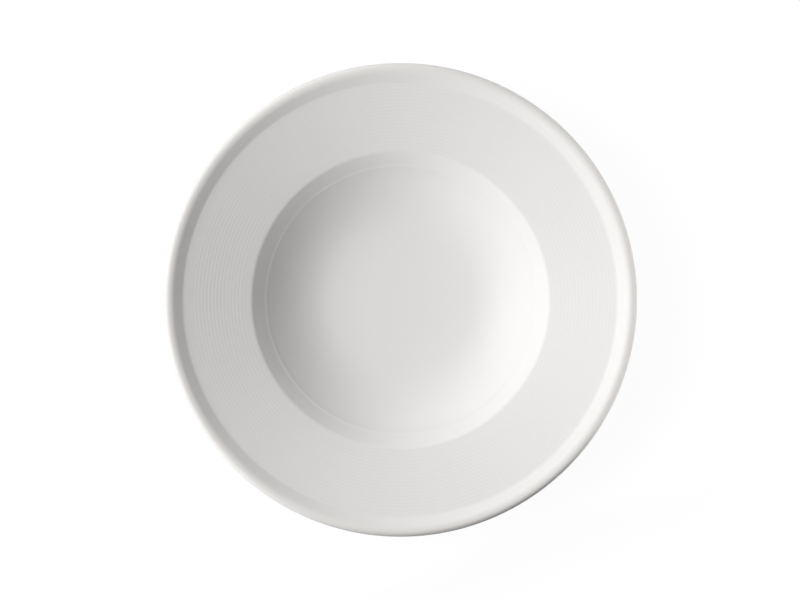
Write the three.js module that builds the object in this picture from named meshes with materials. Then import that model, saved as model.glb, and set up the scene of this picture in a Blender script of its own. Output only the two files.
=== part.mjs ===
// A deep porcelain pasta plate: a pressed and fired body on a foot ring, with a coat of glaze that the wiped
// standing face of the foot parts in two. Millimetres, +Z up, origin in the middle of the standing face.

import * as THREE from 'three';

// Driving dimensions in millimetres and degrees

// Whole plate
const plateDiameter = 300;
const glazeThickness = 0.3;
const wallThickness = 4.5;
const floorThickness = 5;

// Well, from its middle outwards
const floorFlatDiameter = 40;
const dishDiameter = 92;
const dishSlope = 3.5;
const wallSlope = 47;
const wellDiameter = 188.2;
const wellEdgeRound = 5;

// Straight collar at the top of the well, with the fine ledge that shows as a line under it
const collarRun = 8.2;
const collarSlope = 45;
const ledgeRun = 1;
const ledgeSlope = 34;
const ledgeRound = 2;

// Rim and its concentric ribs, with the count of ribs over which the ribbed band rises from either end
const rimSlope = 16;
const ribPitch = 2.18;
const ribHeight = 0.04;
const ribInset = 0.36;
const ribsToFullHeight = 3;

// Raised lip
const lipSlope = 37;
const lipRun = 4.1;
const lipFillet = 6;
const lipInnerRound = 6;
const lipOuterRound = 3;

// Back and foot ring
const backFillet = 9;
const footDiameter = 114;
const footFillet = 2;
const footDraft = 12;
const seatWidth = 3;
const seatRound = 1.2;
const recessDepth = 3;
const recessFillet = 1.5;

// Fineness of the facets: around the axis, and the most that a chord leaves an arc of the section
const segmentsAround = 48;
const chordError = 0.12;

const radians = THREE.MathUtils.degToRad;
const sine = (degrees) => Math.sin(radians(degrees));
const cosine = (degrees) => Math.cos(radians(degrees));
const tangent = (degrees) => Math.tan(radians(degrees));

// A line in the plate's half section, walked with the clay on its right. A station keeps its radius, its
// height and the heading there in degrees: 0 runs straight outwards, 90 straight up, -180 back to the axis.
class SectionLine {
  constructor(radius, height) {
    this.stations = [{ radius, height, heading: 0 }];
  }

  get end() {
    return this.stations.at(-1);
  }

  straight(length) {
    const { radius, height, heading } = this.end;
    const newRadius = radius + length * cosine(heading);
    const newHeight = height + length * sine(heading);
    this.stations.push({ radius: newRadius, height: newHeight, heading });
  }

  straightToRadius(radius) {
    this.straight((radius - this.end.radius) / cosine(this.end.heading));
  }

  straightToHeight(height) {
    this.straight((height - this.end.height) / sine(this.end.heading));
  }

  // An arc that leaves the line without a corner and turns it to a new heading
  bend(newHeading, bendRadius) {
    const start = this.end;
    const turn = newHeading - start.heading;
    const side = Math.sign(turn) * bendRadius;
    const widestStep = 2 * Math.acos(1 - chordError / bendRadius);
    const steps = Math.ceil(Math.abs(radians(turn)) / widestStep);
    for (let step = 1; step <= steps; step += 1) {
      const heading = start.heading + (turn * step) / steps;
      const radius = start.radius + side * (sine(heading) - sine(start.heading));
      const height = start.height - side * (cosine(heading) - cosine(start.heading));
      this.stations.push({ radius, height, heading });
    }
  }

  // The radius of the arc that turns the line to a new heading just as it reaches a given radius
  bendRadiusTo(newHeading, radius) {
    return Math.abs((radius - this.end.radius) / (sine(newHeading) - sine(this.end.heading)));
  }
}

// A station's point in the section, lifted off the clay by a distance along the outward normal
function pointAbove(station, lift) {
  const outwards = -sine(station.heading) * lift;
  const upwards = cosine(station.heading) * lift;
  return new THREE.Vector2(station.radius + outwards, station.height + upwards);
}

// Heading of a line that runs back towards the axis, down a surface of the given slope
const homeward = (slope) => slope - 180;

const bodyRadius = plateDiameter / 2 - glazeThickness;
const outline = new SectionLine(0, recessDepth + floorThickness);

// Floor and wall of the well
outline.straightToRadius(floorFlatDiameter / 2);
outline.bend(dishSlope, outline.bendRadiusTo(dishSlope, dishDiameter / 2));
const wallTopRadius = wellDiameter / 2 - collarRun;
const bowlRadius = outline.bendRadiusTo(wallSlope, wallTopRadius);
outline.bend(wallSlope, bowlRadius);

// Ledge and collar
outline.bend(ledgeSlope, ledgeRound);
outline.straightToRadius(outline.end.radius + ledgeRun);
outline.bend(collarSlope, ledgeRound);
outline.straightToRadius(wellDiameter / 2);
outline.bend(rimSlope, wellEdgeRound);

// Rim, which ends where the lip needs its width
const lipFilletRun = lipFillet * (sine(lipSlope) - sine(rimSlope));
const lipWidth = lipFilletRun + lipRun + lipInnerRound * sine(lipSlope) + lipOuterRound;
const rimStart = outline.end;
const rimStartIndex = outline.stations.length - 1;
outline.straightToRadius(bodyRadius - lipWidth);
const rimEnd = outline.end;

// Lip, up its inner side, over the crest and round its outer edge to the back of the rim
outline.bend(lipSlope, lipFillet);
outline.straightToRadius(outline.end.radius + lipRun);
outline.bend(0, lipInnerRound);
outline.bend(-90, lipOuterRound);
const rimHeightUnderEdge = rimEnd.height + (bodyRadius - rimEnd.radius) * tangent(rimSlope);
const edgeAboveBack = outline.end.height - rimHeightUnderEdge + wallThickness / cosine(rimSlope);
const underRound = edgeAboveBack / (cosine(rimSlope) - (1 - sine(rimSlope)) * tangent(rimSlope));
outline.bend(homeward(rimSlope), underRound);

// Back of the rim, of the collar and of the well, one wall thickness behind the face
const edgeTurn = collarSlope - rimSlope;
const filletLead = (wallThickness - wellEdgeRound + backFillet) * tangent(edgeTurn / 2);
const rimStartBack = pointAbove(rimStart, -wallThickness);
outline.straightToRadius(rimStartBack.x + filletLead * cosine(rimSlope));
outline.bend(homeward(collarSlope), backFillet);
outline.straightToRadius(wallTopRadius + wallThickness * sine(collarSlope));
const backRadius = bowlRadius + wallThickness;
const footRootRadius = footDiameter / 2 + footFillet * cosine(footDraft);
const footLead = footRootRadius - outline.end.radius + backRadius * sine(collarSlope);
const footRootSlope = THREE.MathUtils.radToDeg(Math.asin(footLead / (backRadius + footFillet)));
outline.bend(homeward(footRootSlope), backRadius);

// Foot ring: outer flank, standing face, inner flank, and the flat recess inside it
const flankBottom = seatRound * (1 - sine(footDraft));
const flankTop = recessDepth - recessFillet * (1 - sine(footDraft));
outline.bend(-90 - footDraft, footFillet);
outline.straightToHeight(flankBottom);
const coatEndIndex = outline.stations.length - 1;
outline.bend(-180, seatRound);
outline.straight(seatWidth);
outline.bend(-270 + footDraft, seatRound);
const recessStartIndex = outline.stations.length - 1;
outline.straightToHeight(flankTop);
outline.bend(-180, recessFillet);
outline.straightToRadius(0);

// A point of the glazed face of the rim, so many pitches out from the first groove and raised by a rise
function rimFacePoint(pitches, rise) {
  const radius = rimStart.radius + ribInset + pitches * ribPitch;
  const height = rimStart.height + (radius - rimStart.radius) * tangent(rimSlope);
  return pointAbove({ radius, height, heading: rimSlope }, glazeThickness + rise);
}

// Grooves and crests of the ribs, which are lower near both ends of the ribbed band so that it fades out
function ribPoints() {
  const ribCount = Math.floor((rimEnd.radius - rimStart.radius - ribInset) / ribPitch);
  const points = [rimFacePoint(0, 0)];
  for (let rib = 1; rib <= ribCount; rib += 1) {
    const fromNearerEnd = Math.min(rib, ribCount + 1 - rib);
    const crestRise = ribHeight * Math.min(1, fromNearerEnd / ribsToFullHeight);
    points.push(rimFacePoint(rib - 0.5, crestRise), rimFacePoint(rib, 0));
  }
  return points;
}

// A solid of revolution from a section that starts and ends on the axis, its material on the section's left
function turnedGeometry(section) {
  const geometry = new THREE.LatheGeometry(section, segmentsAround);
  geometry.rotateX(Math.PI / 2);
  return geometry;
}

// Turns every facet over, for a section that has its material on the right
function turnFacetsOver(geometry) {
  const corners = geometry.index;
  for (let corner = 0; corner < corners.count; corner += 3) {
    const first = corners.getX(corner);
    corners.setX(corner, corners.getX(corner + 1));
    corners.setX(corner + 1, first);
  }
  geometry.computeVertexNormals();
}

function namedMesh(name, geometry, material) {
  const mesh = new THREE.Mesh(geometry, material);
  mesh.name = name;
  return mesh;
}

const onClay = (station) => pointAbove(station, 0);
const onGlaze = (station) => pointAbove(station, glazeThickness);

// Clay and glass walk the face that they share in the same direction, so that it has the same facets in both
function porcelainBody() {
  const geometry = turnedGeometry(outline.stations.map(onClay));
  turnFacetsOver(geometry);
  const material = new THREE.MeshStandardMaterial({ color: 0xe6e1d8, roughness: 0.7, metalness: 0 });
  return namedMesh('porcelain_body', geometry, material);
}

// The glaze over the face, the lip and the back, down to the bare standing face of the foot
function glazeCoat() {
  const coated = outline.stations.slice(0, coatEndIndex + 1);
  const well = coated.slice(0, rimStartIndex + 1).map(onGlaze);
  const lipAndBack = coated.slice(rimStartIndex + 1).map(onGlaze);
  const glazedFace = [...well, ...ribPoints(), ...lipAndBack];
  const section = [...coated.map(onClay), ...glazedFace.reverse()];
  const material = new THREE.MeshStandardMaterial({ color: 0xf0eeec, roughness: 0.12, metalness: 0 });
  return namedMesh('glaze_coat', turnedGeometry(section), material);
}

// The disc of glaze in the recess inside the foot ring
function footRecessGlaze() {
  const coated = outline.stations.slice(recessStartIndex);
  const section = [...coated.map(onGlaze).reverse(), ...coated.map(onClay)];
  const material = new THREE.MeshStandardMaterial({ color: 0xf0eeec, roughness: 0.15, metalness: 0 });
  return namedMesh('foot_recess_glaze', turnedGeometry(section), material);
}

const plate = new THREE.Group();
plate.name = 'pasta_plate';
plate.add(porcelainBody(), glazeCoat(), footRecessGlaze());

export default plate;
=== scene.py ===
# %% [markdown]
# # A porcelain pasta plate
# A deep white plate is one pressed and fired piece of porcelain under a coat of glaze. It is round all over,
# so every surface here is a section line turned about the plate's axis, as on a potter's wheel.
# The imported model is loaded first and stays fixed: it says where the plate stands and how large it is.

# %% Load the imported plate
import math

import bpy
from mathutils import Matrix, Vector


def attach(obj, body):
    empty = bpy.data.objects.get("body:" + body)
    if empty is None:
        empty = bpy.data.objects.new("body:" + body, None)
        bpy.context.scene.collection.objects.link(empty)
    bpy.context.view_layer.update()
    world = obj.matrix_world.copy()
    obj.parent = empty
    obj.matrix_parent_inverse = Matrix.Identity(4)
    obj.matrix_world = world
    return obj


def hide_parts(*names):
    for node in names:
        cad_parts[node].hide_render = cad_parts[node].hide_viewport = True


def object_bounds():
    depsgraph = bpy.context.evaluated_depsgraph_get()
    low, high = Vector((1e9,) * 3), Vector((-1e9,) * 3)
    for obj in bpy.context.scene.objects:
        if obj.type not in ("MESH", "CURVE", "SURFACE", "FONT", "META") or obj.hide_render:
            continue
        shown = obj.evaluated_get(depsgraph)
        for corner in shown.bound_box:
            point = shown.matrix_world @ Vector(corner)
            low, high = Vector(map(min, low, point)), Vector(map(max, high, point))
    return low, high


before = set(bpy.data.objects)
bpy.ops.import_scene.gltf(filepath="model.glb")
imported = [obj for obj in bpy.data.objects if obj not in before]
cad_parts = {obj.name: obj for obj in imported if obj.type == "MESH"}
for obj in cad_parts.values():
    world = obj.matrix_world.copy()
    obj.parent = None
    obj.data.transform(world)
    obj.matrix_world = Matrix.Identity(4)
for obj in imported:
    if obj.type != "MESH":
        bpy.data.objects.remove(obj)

MM = 0.001
cad_low, cad_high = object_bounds()
print("packed plate, mm:", [round(side / MM, 2) for side in cad_high - cad_low])

# %% [markdown]
# ## Clay, glaze and angles
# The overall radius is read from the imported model. The rest of the section can't be read off a box, so it is
# written down once, stretch by stretch, as on a potter's drawing: sizes of the clay in metres and slopes in
# degrees. The glaze lies on the clay with an even thickness, so its surface needs no sizes of its own.

# %% Clay radius, wall and glaze
GLAZE = 0.3 * MM
WALL = 4.5 * MM
CLAY_RADIUS = cad_high.x - GLAZE


def sine(degrees):
    return math.sin(math.radians(degrees))


def cosine(degrees):
    return math.cos(math.radians(degrees))


def tangent(degrees):
    return math.tan(math.radians(degrees))


print("clay radius, mm:", round(CLAY_RADIUS / MM, 2), "glaze, mm:", round(GLAZE / MM, 2))

# %% [markdown]
# ## A pen that draws the section
# By hand, a section is drawn from one vertex: extruding it makes a straight stretch, and spinning it about a
# centre makes a round one that leaves the line without a corner. The pen below does just that with Blender's
# own operators. It remembers where it is on the clay, and its heading in degrees: 0 runs outwards, 90 up and
# -180 home to the axis. A lift draws the line that far off the clay, which gives the glaze its surface.

# %% The section pen
OUTWARDS = 0
UPWARDS = 90
DOWNWARDS = -90
HOMEWARDS = -180
QUARTER_TURN = 90
CHORD_ERROR = 0.004 * MM
SCRAP_SIZE = 1 * MM


class SectionPen:
    def __init__(self, name):
        """Opens a new piece with an empty mesh, in edit mode."""
        bpy.ops.object.select_all(action="DESELECT")
        bpy.ops.mesh.primitive_plane_add(size=SCRAP_SIZE, location=(0, 0, 0))
        self.piece = bpy.context.object
        self.piece.name = name
        bpy.ops.object.mode_set(mode="EDIT")
        bpy.ops.mesh.select_all(action="SELECT")
        bpy.ops.mesh.delete(type="VERT")

    def start(self, radius, height, heading, lift):
        """Puts a lone vertex down, from a scrap of plane that is drawn together into its middle."""
        self.radius, self.height, self.heading, self.lift = radius, height, heading, lift
        bpy.ops.mesh.select_all(action="DESELECT")
        place = (radius - lift * sine(heading), 0, height + lift * cosine(heading))
        bpy.ops.mesh.primitive_plane_add(size=SCRAP_SIZE, location=place)
        bpy.ops.mesh.merge(type="CENTER")

    def straight(self, length):
        step = (length * cosine(self.heading), 0, length * sine(self.heading))
        bpy.ops.mesh.extrude_region_move(TRANSFORM_OT_translate={"value": step})
        self.radius += step[0]
        self.height += step[2]

    def to_radius(self, radius):
        self.straight((radius - self.radius) / cosine(self.heading))

    def to_height(self, height):
        self.straight((height - self.height) / sine(self.heading))

    def bend(self, heading, clay_radius):
        """Spins the vertex to a new heading, about a centre one clay radius to the side it turns to."""
        turn = heading - self.heading
        side = math.copysign(clay_radius, turn)
        centre = (self.radius - side * sine(self.heading), 0, self.height + side * cosine(self.heading))
        drawn_radius = abs(side - self.lift)
        step = 2 * math.acos(1 - CHORD_ERROR / drawn_radius)
        steps = math.ceil(abs(math.radians(turn)) / step)
        bpy.ops.mesh.spin(steps=steps, angle=math.radians(turn), center=centre, axis=(0, 1, 0))
        self.radius = centre[0] + side * sine(heading)
        self.height = centre[2] - side * cosine(heading)
        self.heading = heading

    def bend_to_radius(self, heading, radius):
        """Bends to a new heading with the one clay radius that gets there, and returns that radius."""
        clay_radius = abs((radius - self.radius) / (sine(heading) - sine(self.heading)))
        self.bend(heading, clay_radius)
        return clay_radius


print("pen ready, chord error, mm:", round(CHORD_ERROR / MM, 4))

# %% [markdown]
# ## The well
# One line runs from the middle of the floor, up the well, over the rim and the lip, and home along the back
# to the foot ring. Drawn on the clay it bounds the body. Drawn one glaze thickness off the clay it is the
# surface that is seen. So it is written once, in three stretches, and drawn as often as it is needed.
# The first stretch is the well: a floor that dishes up into a wall, a fine ledge that shows as a line, and a
# straight collar above it.

# %% From the middle of the floor to the well's rounded edge
FLOOR_HEIGHT = 8 * MM
FLOOR_FLAT_RADIUS = 20 * MM
DISH_RADIUS = 46 * MM
DISH_SLOPE = 3.5
WALL_SLOPE = 47
LEDGE_RUN = 1 * MM
LEDGE_SLOPE = 34
LEDGE_ROUND = 2 * MM
COLLAR_RUN = 8.2 * MM
COLLAR_SLOPE = 45
WELL_RADIUS = 94.1 * MM
WELL_EDGE_ROUND = 5 * MM
RIM_SLOPE = 16
WALL_TOP_RADIUS = WELL_RADIUS - COLLAR_RUN
RIM_START_RADIUS = WELL_RADIUS + WELL_EDGE_ROUND * (sine(COLLAR_SLOPE) - sine(RIM_SLOPE))


def draw_well(pen):
    """Draws the well and returns the radius of the arc of its wall, which the back repeats."""
    pen.to_radius(FLOOR_FLAT_RADIUS)
    pen.bend_to_radius(DISH_SLOPE, DISH_RADIUS)
    bowl_radius = pen.bend_to_radius(WALL_SLOPE, WALL_TOP_RADIUS)
    pen.bend(LEDGE_SLOPE, LEDGE_ROUND)
    pen.to_radius(pen.radius + LEDGE_RUN)
    pen.bend(COLLAR_SLOPE, LEDGE_ROUND)
    pen.to_radius(WELL_RADIUS)
    pen.bend(RIM_SLOPE, WELL_EDGE_ROUND)
    return bowl_radius


print("wall ends at, mm:", round(WALL_TOP_RADIUS / MM, 2), "rim starts at:", round(RIM_START_RADIUS / MM, 2))

# %% [markdown]
# ## The rim and the lip
# The second stretch is the rim and its raised lip. Fine ribs run round the rim, a few hundredths of a
# millimetre high. A bump texture could fake them, but they would then be missing from the mesh and flat at
# a grazing angle. So each rib is drawn: a wave of three bends, and only in the glaze, because it is the
# glaze's surface that shows. The first and last few ribs are lower, so that the ribbed band fades out.

# %% How wide the lip is, and where the ribs lie
LIP_SLOPE = 37
LIP_RUN = 4.1 * MM
LIP_FILLET = 6 * MM
LIP_INNER_ROUND = 6 * MM
LIP_OUTER_ROUND = 3 * MM
RIB_PITCH = 2.18 * MM
RIB_HEIGHT = 0.04 * MM
RIB_INSET = 0.36 * MM
RIBS_TO_FULL_HEIGHT = 3
LIP_FILLET_RUN = LIP_FILLET * (sine(LIP_SLOPE) - sine(RIM_SLOPE))
LIP_WIDTH = LIP_FILLET_RUN + LIP_RUN + LIP_INNER_ROUND * sine(LIP_SLOPE) + LIP_OUTER_ROUND
RIM_END_RADIUS = CLAY_RADIUS - LIP_WIDTH
FIRST_GROOVE_RADIUS = RIM_START_RADIUS + RIB_INSET
RIB_COUNT = int((RIM_END_RADIUS - FIRST_GROOVE_RADIUS) / RIB_PITCH)
print("ribs:", RIB_COUNT, "lip width, mm:", round(LIP_WIDTH / MM, 2))


# %% The ribs, the rim and the lip round to the back
def draw_rib(pen, height):
    """Up out of the groove, over the crest and down into the next groove."""
    swing = 2 * math.degrees(math.atan(2 * height * cosine(RIM_SLOPE) / RIB_PITCH))
    wave_radius = RIB_PITCH / cosine(RIM_SLOPE) / (4 * sine(swing))
    pen.bend(RIM_SLOPE + swing, wave_radius + GLAZE)
    pen.bend(RIM_SLOPE - swing, wave_radius - GLAZE)
    pen.bend(RIM_SLOPE, wave_radius + GLAZE)


def draw_ribs(pen):
    pen.to_radius(FIRST_GROOVE_RADIUS)
    for rib in range(RIB_COUNT):
        from_nearer_end = min(rib + 1, RIB_COUNT - rib)
        draw_rib(pen, RIB_HEIGHT * min(1, from_nearer_end / RIBS_TO_FULL_HEIGHT))


def draw_rim_and_lip(pen, ribbed):
    if ribbed:
        draw_ribs(pen)
    pen.to_radius(RIM_END_RADIUS)
    rim_end_height = pen.height
    pen.bend(LIP_SLOPE, LIP_FILLET)
    pen.to_radius(pen.radius + LIP_RUN)
    pen.bend(OUTWARDS, LIP_INNER_ROUND)
    pen.bend(DOWNWARDS, LIP_OUTER_ROUND)
    # The lowest round is as large as it takes to run into the back of the rim, one wall behind its face
    rim_height_under_edge = rim_end_height + LIP_WIDTH * tangent(RIM_SLOPE)
    edge_above_back = pen.height - rim_height_under_edge + WALL / cosine(RIM_SLOPE)
    under_round = edge_above_back / (cosine(RIM_SLOPE) - (1 - sine(RIM_SLOPE)) * tangent(RIM_SLOPE))
    pen.bend(HOMEWARDS + RIM_SLOPE, under_round)


lowest_rib = RIB_HEIGHT / RIBS_TO_FULL_HEIGHT
print("ribs rise from, mm:", round(lowest_rib / MM, 3), "to:", round(RIB_HEIGHT / MM, 3))

# %% [markdown]
# ## The back
# The third stretch is the back. It runs home one wall thickness behind the face, and ends on the outer flank
# of the foot ring, which leans a little so that the plate comes out of its mould.

# %% The back, home to the flank of the foot ring
BACK_FILLET = 9 * MM
FOOT_RADIUS = 57 * MM
FOOT_FILLET = 2 * MM
FOOT_DRAFT = 12


def draw_back(pen, bowl_radius):
    # The fillet behind the edge of the well is rounder than that edge, so it starts sooner by its lead
    fillet_lead = (WALL - WELL_EDGE_ROUND + BACK_FILLET) * tangent((COLLAR_SLOPE - RIM_SLOPE) / 2)
    rim_start_back = RIM_START_RADIUS + WALL * sine(RIM_SLOPE)
    pen.to_radius(rim_start_back + fillet_lead * cosine(RIM_SLOPE))
    pen.bend(HOMEWARDS + COLLAR_SLOPE, BACK_FILLET)
    pen.to_radius(WALL_TOP_RADIUS + WALL * sine(COLLAR_SLOPE))
    # The arc behind the bowl ends where it touches the fillet of the foot, which gives the slope there
    back_radius = bowl_radius + WALL
    foot_root = FOOT_RADIUS + FOOT_FILLET * cosine(FOOT_DRAFT)
    foot_lead = foot_root - pen.radius + back_radius * sine(COLLAR_SLOPE)
    foot_slope = math.degrees(math.asin(foot_lead / (back_radius + FOOT_FILLET)))
    pen.bend(HOMEWARDS + foot_slope, back_radius)
    pen.bend(DOWNWARDS - FOOT_DRAFT, FOOT_FILLET)


def draw_glazed_line(pen, lift, ribbed):
    """Draws all three stretches and returns the clay's height where the rim starts."""
    pen.start(0, FLOOR_HEIGHT, OUTWARDS, lift)
    bowl_radius = draw_well(pen)
    rim_start_height = pen.height
    draw_rim_and_lip(pen, ribbed)
    draw_back(pen, bowl_radius)
    return rim_start_height


print("foot across, mm:", round(2 * FOOT_RADIUS / MM, 2))

# %% [markdown]
# ## Turning a section into a piece
# The Screw modifier could turn the line too, but Spin is the operator that a person reaches for here, and
# it leaves a plain mesh at once. Both ends of every section meet the axis or each other, where copies of the
# end vertex fall together, so doubles are merged before the normals are made to point outwards.

# %% Turn a section about the axis
SPOKES = 192
MERGE_DISTANCE = 0.001 * MM
CREASE_ANGLE = math.radians(50)


def turn_on_axis(pen):
    bpy.ops.mesh.select_all(action="SELECT")
    bpy.ops.mesh.spin(steps=SPOKES, angle=math.tau, center=(0, 0, 0), axis=(0, 0, 1))
    bpy.ops.mesh.select_all(action="SELECT")
    bpy.ops.mesh.remove_doubles(threshold=MERGE_DISTANCE)
    bpy.ops.mesh.normals_make_consistent(inside=False)
    bpy.ops.object.mode_set(mode="OBJECT")
    bpy.ops.object.shade_smooth_by_angle(angle=CREASE_ANGLE)
    piece = pen.piece
    sides = [round(side / MM, 2) for side in piece.dimensions]
    print(piece.name, "faces:", len(piece.data.polygons), "mm:", sides)
    return piece


print("spokes round the axis:", SPOKES)

# %% [markdown]
# ## The porcelain body
# The body is the fired clay. Almost all of it is under glaze: what shows is the standing face of the foot
# ring, which is wiped clean before firing so that the plate doesn't fuse to the kiln shelf.
# The section goes on from the back, round the foot ring and along the recess to the axis.

# %% Draw and turn the body
SEAT_WIDTH = 3 * MM
SEAT_ROUND = 1.2 * MM
RECESS_DEPTH = 3 * MM
RECESS_FILLET = 1.5 * MM
INNER_FLANK = HOMEWARDS - QUARTER_TURN + FOOT_DRAFT
FLANK_BOTTOM = SEAT_ROUND * (1 - sine(FOOT_DRAFT))
FLANK_TOP = RECESS_DEPTH - RECESS_FILLET * (1 - sine(FOOT_DRAFT))


def draw_recess_line(pen):
    pen.to_height(FLANK_TOP)
    pen.bend(HOMEWARDS, RECESS_FILLET)
    pen.to_radius(0)


body_pen = SectionPen("plate_body")
rim_start_height = draw_glazed_line(body_pen, lift=0, ribbed=False)
body_pen.to_height(FLANK_BOTTOM)
body_pen.bend(HOMEWARDS, SEAT_ROUND)
body_pen.straight(SEAT_WIDTH)
body_pen.bend(INNER_FLANK, SEAT_ROUND)
inner_flank_radius = body_pen.radius
draw_recess_line(body_pen)
plate_body = turn_on_axis(body_pen)

# %% [markdown]
# ## The glaze on the face and the back
# Glaze is a layer of glass about a third of a millimetre thick. A Solidify modifier would give the layer as
# well, but the glass has a face of its own: it carries the ribs of the rim and ends above the standing face
# in a soft rolled edge. So its section has two lines, glass and clay, that meet at that edge.

# %% Draw and turn the face glaze
coat_pen = SectionPen("face_and_back_glaze")
draw_glazed_line(coat_pen, lift=GLAZE, ribbed=True)
coat_pen.to_height(FLANK_BOTTOM + GLAZE * cosine(FOOT_DRAFT))
coat_pen.bend(coat_pen.heading - QUARTER_TURN, 0)
draw_glazed_line(coat_pen, lift=0, ribbed=False)
coat_pen.to_height(FLANK_BOTTOM)
face_and_back_glaze = turn_on_axis(coat_pen)

# %% [markdown]
# ## The glaze inside the foot ring
# The bare ring parts the recess under the plate from the rest, so its glaze is a disc of its own, with an
# edge that turns down. It is drawn like the coat, from its rolled edge on the inner flank of the foot to the
# axis.

# %% Draw and turn the recess glaze
recess_pen = SectionPen("recess_glaze")
edge_radius = inner_flank_radius + GLAZE * cosine(INNER_FLANK)
edge_height = FLANK_BOTTOM + GLAZE * sine(INNER_FLANK)
recess_pen.start(edge_radius, edge_height, INNER_FLANK + QUARTER_TURN, lift=GLAZE)
recess_pen.bend(INNER_FLANK, 0)
draw_recess_line(recess_pen)
recess_pen.start(inner_flank_radius, FLANK_BOTTOM, INNER_FLANK, lift=0)
draw_recess_line(recess_pen)
recess_glaze = turn_on_axis(recess_pen)

# %% [markdown]
# ## Tying the pieces to the imported model
# Each turned piece stands for one node of the imported model, which is then hidden, and rides on the only
# body that the plate has. The slot names the finish that the record gives the piece.

# %% Ride and hide
for piece, node, slot in (
    (plate_body, "porcelain_body", "bare_porcelain"),
    (face_and_back_glaze, "glaze_coat", "white_glaze"),
    (recess_glaze, "foot_recess_glaze", "white_glaze"),
):
    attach(piece, "root")
    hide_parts(node)

# %% [markdown]
# ## Helpers for node materials
# Every finish is a tree of nodes that ends in the Principled shader. By hand, one adds a node, fills in its
# fields and draws wires to it. The first helper does all three: a value that is a socket becomes a wire, and
# any other value is typed into its field. The others are the few small steps that the finishes share.

# %% Node helpers
CLOUD_DETAIL = 2


def add_node(tree, kind, inputs=None, **settings):
    node = tree.nodes.new(kind)
    for setting, value in settings.items():
        setattr(node, setting, value)
    for socket, value in (inputs or {}).items():
        if isinstance(value, bpy.types.NodeSocket):
            tree.links.new(value, node.inputs[socket])
        else:
            node.inputs[socket].default_value = value
    return node


def calculate(tree, operation, *values):
    """The result of one Math node."""
    return add_node(tree, "ShaderNodeMath", dict(enumerate(values)), operation=operation).outputs[0]


def fade(tree, value, start, end):
    """Goes smoothly from 0, where the value is at the start, to 1, where it is at the end."""
    span = {"Value": value, "From Min": start, "From Max": end}
    return add_node(tree, "ShaderNodeMapRange", span, interpolation_type="SMOOTHSTEP").outputs["Result"]


def stretch(tree, amount, low, high):
    """Spreads an amount between 0 and 1 over another range."""
    span = {"Value": amount, "To Min": low, "To Max": high}
    return add_node(tree, "ShaderNodeMapRange", span).outputs["Result"]


def blend(tree, amount, first, second):
    """A colour on the way from the first to the second."""
    mix = add_node(tree, "ShaderNodeMix", {"Factor": amount}, data_type="RGBA")
    for socket, colour in (("A", first), ("B", second)):
        if isinstance(colour, bpy.types.NodeSocket):
            tree.links.new(colour, mix.inputs[socket])
        else:
            mix.inputs[socket].default_value = colour
    return mix.outputs["Result"]


def clouds(tree, place, size, detail=CLOUD_DETAIL):
    """Soft noise between 0 and 1, with spots of about the given size."""
    noise = {"Vector": place, "Scale": 1 / size, "Detail": detail}
    return add_node(tree, "ShaderNodeTexNoise", noise).outputs["Fac"]


def new_finish(name):
    finish = bpy.data.materials.new(name)
    finish.use_nodes = True
    return finish, finish.node_tree, finish.node_tree.nodes["Principled BSDF"]


helpers = (add_node, calculate, fade, stretch, blend, clouds, new_finish)
print("helpers:", [helper.__name__ for helper in helpers])

# %% [markdown]
# ## Painted shade in the grooves, and where the glaze is thin
# Glaze is clear glass over white clay, so it is nearly even in colour, but it never lies quite evenly. The
# grooves between the ribs carry a painted shade, a trace cooler and darker, and the glaze draws thin over
# the crest of the lip, where the warmer clay shows through. Both could be painted on by hand. Here they
# follow from the place on the plate: the distance from its axis and the height.

# %% Painted groove shade and thin glaze
LIP_CREST_DEPTH = 1.2 * MM
LEVEL_PART = (1, 1, 0)


def place_on_plate(tree):
    return add_node(tree, "ShaderNodeTexCoord").outputs["Object"]


def distance_from_axis(tree, place):
    flat = add_node(tree, "ShaderNodeVectorMath", {0: place, 1: LEVEL_PART}, operation="MULTIPLY").outputs[0]
    return add_node(tree, "ShaderNodeVectorMath", {0: flat}, operation="LENGTH").outputs["Value"]


def height_above_seat(tree, place):
    return add_node(tree, "ShaderNodeSeparateXYZ", {0: place}).outputs["Z"]


def painted_groove_shade(tree, radius, height):
    """Painted shade: one in the grooves of the rim's face, zero on the crests and everywhere else."""
    first = FIRST_GROOVE_RADIUS - GLAZE * sine(RIM_SLOPE)
    last = first + RIB_COUNT * RIB_PITCH
    from_first = calculate(tree, "SUBTRACT", radius, first)
    turns = calculate(tree, "MULTIPLY", from_first, math.tau / RIB_PITCH)
    groove = fade(tree, calculate(tree, "COSINE", turns), -1, 1)
    past_first = fade(tree, radius, first - RIB_PITCH, first)
    before_last = fade(tree, radius, last + RIB_PITCH, last)
    rim_line = rim_start_height - RIM_START_RADIUS * tangent(RIM_SLOPE)
    slope_height = calculate(tree, "MULTIPLY", radius, tangent(RIM_SLOPE))
    on_face = fade(tree, calculate(tree, "SUBTRACT", height, slope_height), rim_line - WALL / 2, rim_line)
    # The painted shade is kept to the grooves on the ribbed face of the rim
    shade_in_grooves = calculate(tree, "MULTIPLY", groove, on_face)
    for mask in (past_first, before_last):
        shade_in_grooves = calculate(tree, "MULTIPLY", shade_in_grooves, mask)
    return shade_in_grooves


def thin_glaze(tree, height):
    """One on the crest of the lip, the highest ring of the plate, and zero a little below it."""
    return fade(tree, height, cad_high.z - LIP_CREST_DEPTH, cad_high.z)


print("rim starts at height, mm:", round(rim_start_height / MM, 2))

# %% [markdown]
# ## White glaze
# The kiln adds a slow drift of tone over the whole plate and a sheen that isn't quite the same everywhere.
# The glass is smooth but not flat: it has a fine orange peel and long ripples, about a hundredth of a
# millimetre high at most. Those are far too fine for the mesh, so they are bump, in true heights.

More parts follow.
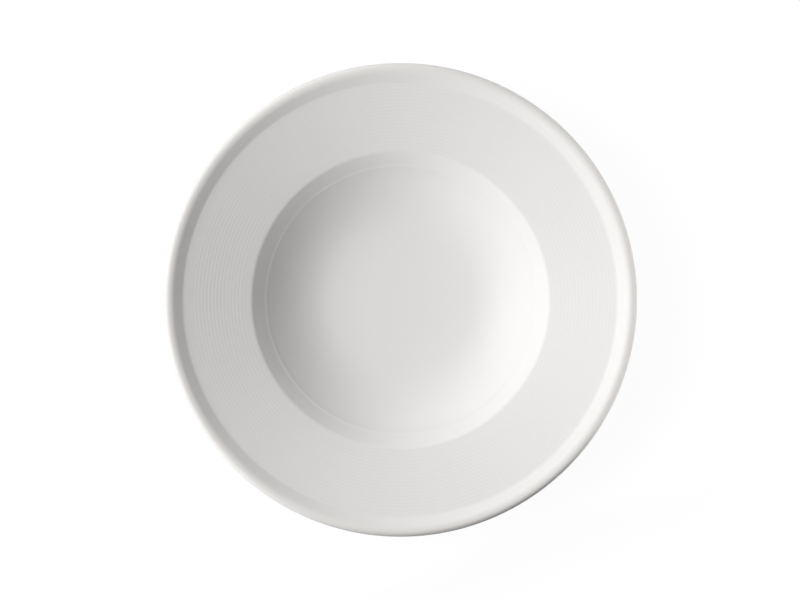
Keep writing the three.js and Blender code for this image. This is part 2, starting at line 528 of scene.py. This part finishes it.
# %% Glaze finish
GLAZE_WARM = (0.874, 0.858, 0.842, 1)
GLAZE_COOL = (0.862, 0.850, 0.838, 1)
# Painted shade for the grooves between the ribs, a trace cooler and darker than the glaze
GLAZE_GROOVE_SHADE = (0.845, 0.834, 0.824, 1)
GLAZE_THIN = (0.878, 0.858, 0.834, 1)
DRIFT_SIZE = 110 * MM
SHEEN_SPOT_SIZE = 35 * MM
SHEEN_SMOOTH = 0.07
SHEEN_ROUGH = 0.14
PEEL_SIZE = 2.5 * MM
PEEL_DETAIL = 1
PEEL_HEIGHT = 0.004 * MM
RIPPLE_SIZE = 25 * MM
RIPPLE_DETAIL = 0
RIPPLE_SHARE = 3
GLASS_INDEX = 1.5


def white_glaze():
    finish, tree, shader = new_finish("white_glaze")
    place = place_on_plate(tree)
    radius = distance_from_axis(tree, place)
    height = height_above_seat(tree, place)
    tone = blend(tree, clouds(tree, place, DRIFT_SIZE), GLAZE_WARM, GLAZE_COOL)
    # The grooves between the ribs get a painted shade
    tone = blend(tree, painted_groove_shade(tree, radius, height), tone, GLAZE_GROOVE_SHADE)
    tone = blend(tree, thin_glaze(tree, height), tone, GLAZE_THIN)
    sheen = stretch(tree, clouds(tree, place, SHEEN_SPOT_SIZE), SHEEN_SMOOTH, SHEEN_ROUGH)
    peel = clouds(tree, place, PEEL_SIZE, PEEL_DETAIL)
    ripple = clouds(tree, place, RIPPLE_SIZE, RIPPLE_DETAIL)
    surface = calculate(tree, "MULTIPLY_ADD", ripple, RIPPLE_SHARE, peel)
    bump = add_node(tree, "ShaderNodeBump", {"Height": surface, "Distance": PEEL_HEIGHT})
    tree.links.new(tone, shader.inputs["Base Color"])
    tree.links.new(sheen, shader.inputs["Roughness"])
    tree.links.new(bump.outputs["Normal"], shader.inputs["Normal"])
    shader.inputs["IOR"].default_value = GLASS_INDEX
    print(finish.name, "nodes:", len(tree.nodes))
    return finish


glaze_finish = white_glaze()
face_and_back_glaze.data.materials.append(glaze_finish)
recess_glaze.data.materials.append(glaze_finish)

# %% [markdown]
# ## Bare porcelain
# The standing face of the foot ring is bare clay, ground smooth after firing. It is matt and off-white, with
# a sandy grain, a few dark specks of iron, and faint grey lines round the ring where it has rubbed on
# shelves and other plates. The lines are noise that depends on the distance from the axis alone, so they
# are circles.

# %% Specks and rub lines
SPECK_SPACING = 1.8 * MM
SPECKED_SHARE = 0.12
SPECK_EDGE = 0.18
SPECK_CORE = 0.10
RUB_LINE_SIZE = 0.5 * MM
RUB_LINE_DETAIL = 3
RUB_STRENGTH = 0.6
RUB_START = 0.5
RUB_FULL = 0.75


def iron_specks(tree, place):
    """One inside a speck: a dot in the middle of a few cells of a Voronoi pattern."""
    cells = add_node(tree, "ShaderNodeTexVoronoi", {"Vector": place, "Scale": 1 / SPECK_SPACING}).outputs
    dot = fade(tree, cells["Distance"], SPECK_EDGE, SPECK_CORE)
    chance = add_node(tree, "ShaderNodeSeparateColor", {0: cells["Color"]}).outputs["Red"]
    return calculate(tree, "MULTIPLY", dot, calculate(tree, "LESS_THAN", chance, SPECKED_SHARE))


def rub_lines(tree, radius):
    """Circles of wear, from noise along the radius."""
    noise = {"W": radius, "Scale": 1 / RUB_LINE_SIZE, "Detail": RUB_LINE_DETAIL}
    lines = add_node(tree, "ShaderNodeTexNoise", noise, noise_dimensions="1D").outputs["Fac"]
    return stretch(tree, fade(tree, lines, RUB_START, RUB_FULL), 0.0, RUB_STRENGTH)


print("specks across, mm:", round(2 * SPECK_EDGE * SPECK_SPACING / MM, 2))

# %% Bare porcelain finish
CLAY_LIGHT = (0.80, 0.77, 0.72, 1)
CLAY_DARK = (0.70, 0.665, 0.61, 1)
CLAY_RUBBED = (0.50, 0.49, 0.47, 1)
CLAY_SPECK = (0.22, 0.17, 0.13, 1)
GRAIN_SIZE = 0.7 * MM
GRAIN_DETAIL = 4
GRAIN_HEIGHT = 0.03 * MM
BLOTCH_SIZE = 8 * MM
GROUND_SMOOTH = 0.6
GROUND_ROUGH = 0.85


def bare_porcelain():
    finish, tree, shader = new_finish("bare_porcelain")
    place = place_on_plate(tree)
    grain = clouds(tree, place, GRAIN_SIZE, GRAIN_DETAIL)
    blotch = clouds(tree, place, BLOTCH_SIZE)
    tone = blend(tree, calculate(tree, "MULTIPLY", grain, blotch), CLAY_LIGHT, CLAY_DARK)
    tone = blend(tree, rub_lines(tree, distance_from_axis(tree, place)), tone, CLAY_RUBBED)
    tone = blend(tree, iron_specks(tree, place), tone, CLAY_SPECK)
    bump = add_node(tree, "ShaderNodeBump", {"Height": grain, "Distance": GRAIN_HEIGHT})
    tree.links.new(tone, shader.inputs["Base Color"])
    tree.links.new(stretch(tree, grain, GROUND_SMOOTH, GROUND_ROUGH), shader.inputs["Roughness"])
    tree.links.new(bump.outputs["Normal"], shader.inputs["Normal"])
    print(finish.name, "nodes:", len(tree.nodes))
    return finish


plate_body.data.materials.append(bare_porcelain())

# %% [markdown]
# ## The floor
# The plate stands on a floor that is plain white but for a faint shade beside it. Rays from the camera, and
# mirrored ones, see a floor that glows almost white and takes a little light and shadow. All other light
# meets a duller floor, because a bright one would light the plate's edge from below and melt it into the
# white. Right under the plate it glows a little more, for the underside. From below the floor is clear, so
# that the foot can be looked at.

# %% Floor
FLOOR_SIZE = 6

bpy.ops.object.select_all(action="DESELECT")
bpy.ops.mesh.primitive_plane_add(size=FLOOR_SIZE, location=(0, 0, cad_low.z))
floor = bpy.context.object
floor.name = "studio_floor"
print("floor, m:", FLOOR_SIZE, "at height, mm:", round(cad_low.z / MM, 3))

# %% Floor finish
FLOOR_GLOW = 0.945
FLOOR_SHADE = 0.09
BOUNCE_GLOW = 0.08
BOUNCE_SHADE = 0.15
UNDER_GLOW = 0.2
WHITE = (1, 1, 1, 1)


def seen_directly(tree):
    """One for rays from the camera and for mirrored or refracted ones, zero for all others."""
    path = add_node(tree, "ShaderNodeLightPath").outputs
    unscattered = calculate(tree, "MAXIMUM", path["Is Camera Ray"], path["Is Glossy Ray"])
    return calculate(tree, "MAXIMUM", unscattered, path["Is Transmission Ray"])


def shaded_glow(tree, strength, shade):
    """An even glow and a grey that takes light and shadow, added up."""
    glow = add_node(tree, "ShaderNodeEmission", {"Color": WHITE, "Strength": strength}).outputs[0]
    grey = add_node(tree, "ShaderNodeBsdfDiffuse", {"Color": (shade, shade, shade, 1)}).outputs[0]
    return add_node(tree, "ShaderNodeAddShader", {0: glow, 1: grey}).outputs[0]


def glow_under_plate(tree):
    """The glow of the duller floor, stronger under the plate, where only the plate's underside sees it."""
    under = fade(tree, distance_from_axis(tree, place_on_plate(tree)), CLAY_RADIUS, FOOT_RADIUS)
    return calculate(tree, "MULTIPLY_ADD", under, UNDER_GLOW, BOUNCE_GLOW)


def floor_finish():
    finish, tree, _ = new_finish("studio_floor")
    tree.nodes.clear()
    bounce = shaded_glow(tree, glow_under_plate(tree), BOUNCE_SHADE)
    white = shaded_glow(tree, FLOOR_GLOW, FLOOR_SHADE)
    top = add_node(tree, "ShaderNodeMixShader", {0: seen_directly(tree), 1: bounce, 2: white}).outputs[0]
    under = add_node(tree, "ShaderNodeNewGeometry").outputs["Backfacing"]
    clear = add_node(tree, "ShaderNodeBsdfTransparent").outputs[0]
    both = add_node(tree, "ShaderNodeMixShader", {0: under, 1: top, 2: clear}).outputs[0]
    add_node(tree, "ShaderNodeOutputMaterial", {"Surface": both})
    print(finish.name, "nodes:", len(tree.nodes))
    return finish


floor.data.materials.append(floor_finish())

# %% [markdown]
# ## The light
# The light is soft and comes from the left, from a source so broad that nothing casts a hard shadow. Area
# lamps could give it, but the world itself can glow brighter in one direction, which has no edges at all.
# Three such glows are added up: the main one, and weaker fills from the top and the bottom of the picture.
# Mirrored rays see white with only a trace of the glows, so the glaze shines evenly, no lamp shows in it,
# and the ribs still catch a little light.

# %% Soft light from three sides
GLOWS = {
    "main": {"azimuth": 172, "elevation": 42, "sharpness": 18, "strength": 7.95},
    "upper_fill": {"azimuth": 93, "elevation": 10, "sharpness": 6, "strength": 1.78},
    "lower_fill": {"azimuth": 251, "elevation": 8, "sharpness": 6, "strength": 1.9},
}
EVEN_GLOW = 0.05
MIRRORED_WHITE = 1
MIRRORED_SHARE = 0.08


def glow_strength(tree, way, azimuth, elevation, sharpness, strength):
    """A glow is full at its middle and fades with a power of the cosine of the angle from there."""
    flat = cosine(elevation)
    middle = (flat * cosine(azimuth), flat * sine(azimuth), sine(elevation))
    facing = add_node(tree, "ShaderNodeVectorMath", {0: way, 1: middle}, operation="DOT_PRODUCT")
    front = calculate(tree, "MAXIMUM", facing.outputs["Value"], 0.0)
    return calculate(tree, "MULTIPLY", calculate(tree, "POWER", front, sharpness), strength)


def studio_light():
    world = bpy.data.worlds.new("studio_light")
    world.use_nodes = True
    tree = world.node_tree
    tree.nodes.clear()
    way = add_node(tree, "ShaderNodeTexCoord").outputs["Generated"]
    total = EVEN_GLOW
    for glow in GLOWS.values():
        total = calculate(tree, "ADD", glow_strength(tree, way, **glow), total)
    soft = add_node(tree, "ShaderNodeBackground", {"Color": WHITE, "Strength": total}).outputs[0]
    mirrored = calculate(tree, "MULTIPLY_ADD", total, MIRRORED_SHARE, MIRRORED_WHITE)
    white = add_node(tree, "ShaderNodeBackground", {"Color": WHITE, "Strength": mirrored}).outputs[0]
    sky = add_node(tree, "ShaderNodeMixShader", {0: seen_directly(tree), 1: soft, 2: white}).outputs[0]
    add_node(tree, "ShaderNodeOutputWorld", {"Surface": sky})
    return world


bpy.context.scene.world = studio_light()
print("glows:", list(GLOWS))

# %% [markdown]
# ## Strips of light for the outer edge
# The outer edge of the lip turns away from the glows above it and would fall dark. Low strip lamps lift it:
# a bright one on the side away from the main light, and a broad weak one on the near side. A strip stands
# just off the floor and is about as high as the lip, so its light meets the outer edge and hardly looks
# into the well.

# %% Edge lamps
STRIP_DISTANCE = 0.9
STRIP_HEIGHT = 54 * MM
STRIP_LIFT = 1 * MM
STRIPS = {
    "far_strip": {"azimuth": 352, "width": 0.4, "radiance": 63},
    "near_strip": {"azimuth": 180, "width": 1.2, "radiance": 5},
}


def add_strip(name, azimuth, width, radiance):
    """Adds one lamp that faces the plate. Its watts follow from its radiance and its area."""
    strip_data = bpy.data.lights.new(name, "AREA")
    strip_data.shape = "RECTANGLE"
    strip_data.size = width
    strip_data.size_y = STRIP_HEIGHT
    strip_data.energy = radiance * math.pi * width * STRIP_HEIGHT
    strip = bpy.data.objects.new(name, strip_data)
    bpy.context.scene.collection.objects.link(strip)
    strip_x = STRIP_DISTANCE * cosine(azimuth)
    strip_y = STRIP_DISTANCE * sine(azimuth)
    strip.location = (strip_x, strip_y, STRIP_HEIGHT / 2 + STRIP_LIFT)
    strip.rotation_euler = (math.radians(QUARTER_TURN), 0, math.radians(azimuth + QUARTER_TURN))
    strip.visible_glossy = False
    print(name, "W:", round(strip_data.energy, 2))


for name, settings in STRIPS.items():
    add_strip(name, **settings)

# %% [markdown]
# ## A dark card for the lower edge
# A white plate on white ground melts into it. A photographer holds a black card close beside such an edge:
# the edge then sees black on that side and shows as a fine dark line. A card that is bent round the plate
# would end the line at once. A flat one is farther off towards its ends, so that the line fades out, and it
# is held clear of the floor, so that no shadow marks its foot. The card is no part of the plate. Neither the
# camera nor mirrored rays see it, so all that it does is keep low light off the edge next to it.

# %% Edge card
CARD_AZIMUTH = 288
CARD_GAP = 12 * MM
CARD_BOTTOM = 28 * MM
CARD_TOP = 73 * MM
CARD_WIDTH = 330 * MM
CARD_BLACK = (0.02, 0.02, 0.02, 1)
CARD_ROUGHNESS = 1

card_pen = SectionPen("edge_card")
card_pen.start(cad_high.x + CARD_GAP, CARD_BOTTOM, UPWARDS, lift=0)
card_pen.to_height(CARD_TOP)
bpy.ops.mesh.select_all(action="SELECT")
bpy.ops.mesh.extrude_region_move(TRANSFORM_OT_translate={"value": (0, CARD_WIDTH, 0)})
bpy.ops.mesh.select_all(action="SELECT")
bpy.ops.transform.translate(value=(0, -CARD_WIDTH / 2, 0))
bpy.ops.object.mode_set(mode="OBJECT")
edge_card = card_pen.piece
edge_card.rotation_euler.z = math.radians(CARD_AZIMUTH)
card_finish, _, card_shader = new_finish("edge_card")
card_shader.inputs["Base Color"].default_value = CARD_BLACK
card_shader.inputs["Roughness"].default_value = CARD_ROUGHNESS
edge_card.data.materials.append(card_finish)
edge_card.visible_camera = False
edge_card.visible_glossy = False
edge_card.visible_transmission = False
card_sides = [round(side / MM) for side in edge_card.dimensions]
print("edge card, mm:", card_sides, "held at:", round(CARD_BOTTOM / MM))

# %% [markdown]
# ## The camera
# The photograph looks straight down on the plate from far above. The camera hangs a metre and a half over
# the widest ring of the plate, and its lens follows from how wide that ring is in the picture. The plate's
# middle is a fraction of a pixel off the middle of the frame, so the camera is moved by as much.

# %% Camera over the plate
FRAME_SIZE_PX = (800, 600)
PLATE_CENTRE_PX = (400.3, 299.9)
PLATE_RADIUS_PX = 236.9
CAMERA_RISE = 1.5

widest = max(face_and_back_glaze.data.vertices, key=lambda vertex: vertex.co.x).co
metres_per_px = widest.x / PLATE_RADIUS_PX
right_of_plate = (FRAME_SIZE_PX[0] / 2 - PLATE_CENTRE_PX[0]) * metres_per_px
above_plate = (PLATE_CENTRE_PX[1] - FRAME_SIZE_PX[1] / 2) * metres_per_px
camera_data = bpy.data.cameras.new("photo_camera")
camera_data.lens = camera_data.sensor_width * CAMERA_RISE / (FRAME_SIZE_PX[0] * metres_per_px)
camera = bpy.data.objects.new("photo_camera", camera_data)
bpy.context.scene.collection.objects.link(camera)
camera.location = (right_of_plate, above_plate, widest.z + CAMERA_RISE)
bpy.context.scene.camera = camera
bpy.context.scene.view_settings.view_transform = "Standard"
camera_place = [round(way, 4) for way in camera.location]
print("camera lens, mm:", round(camera_data.lens, 2), "place, m:", camera_place)
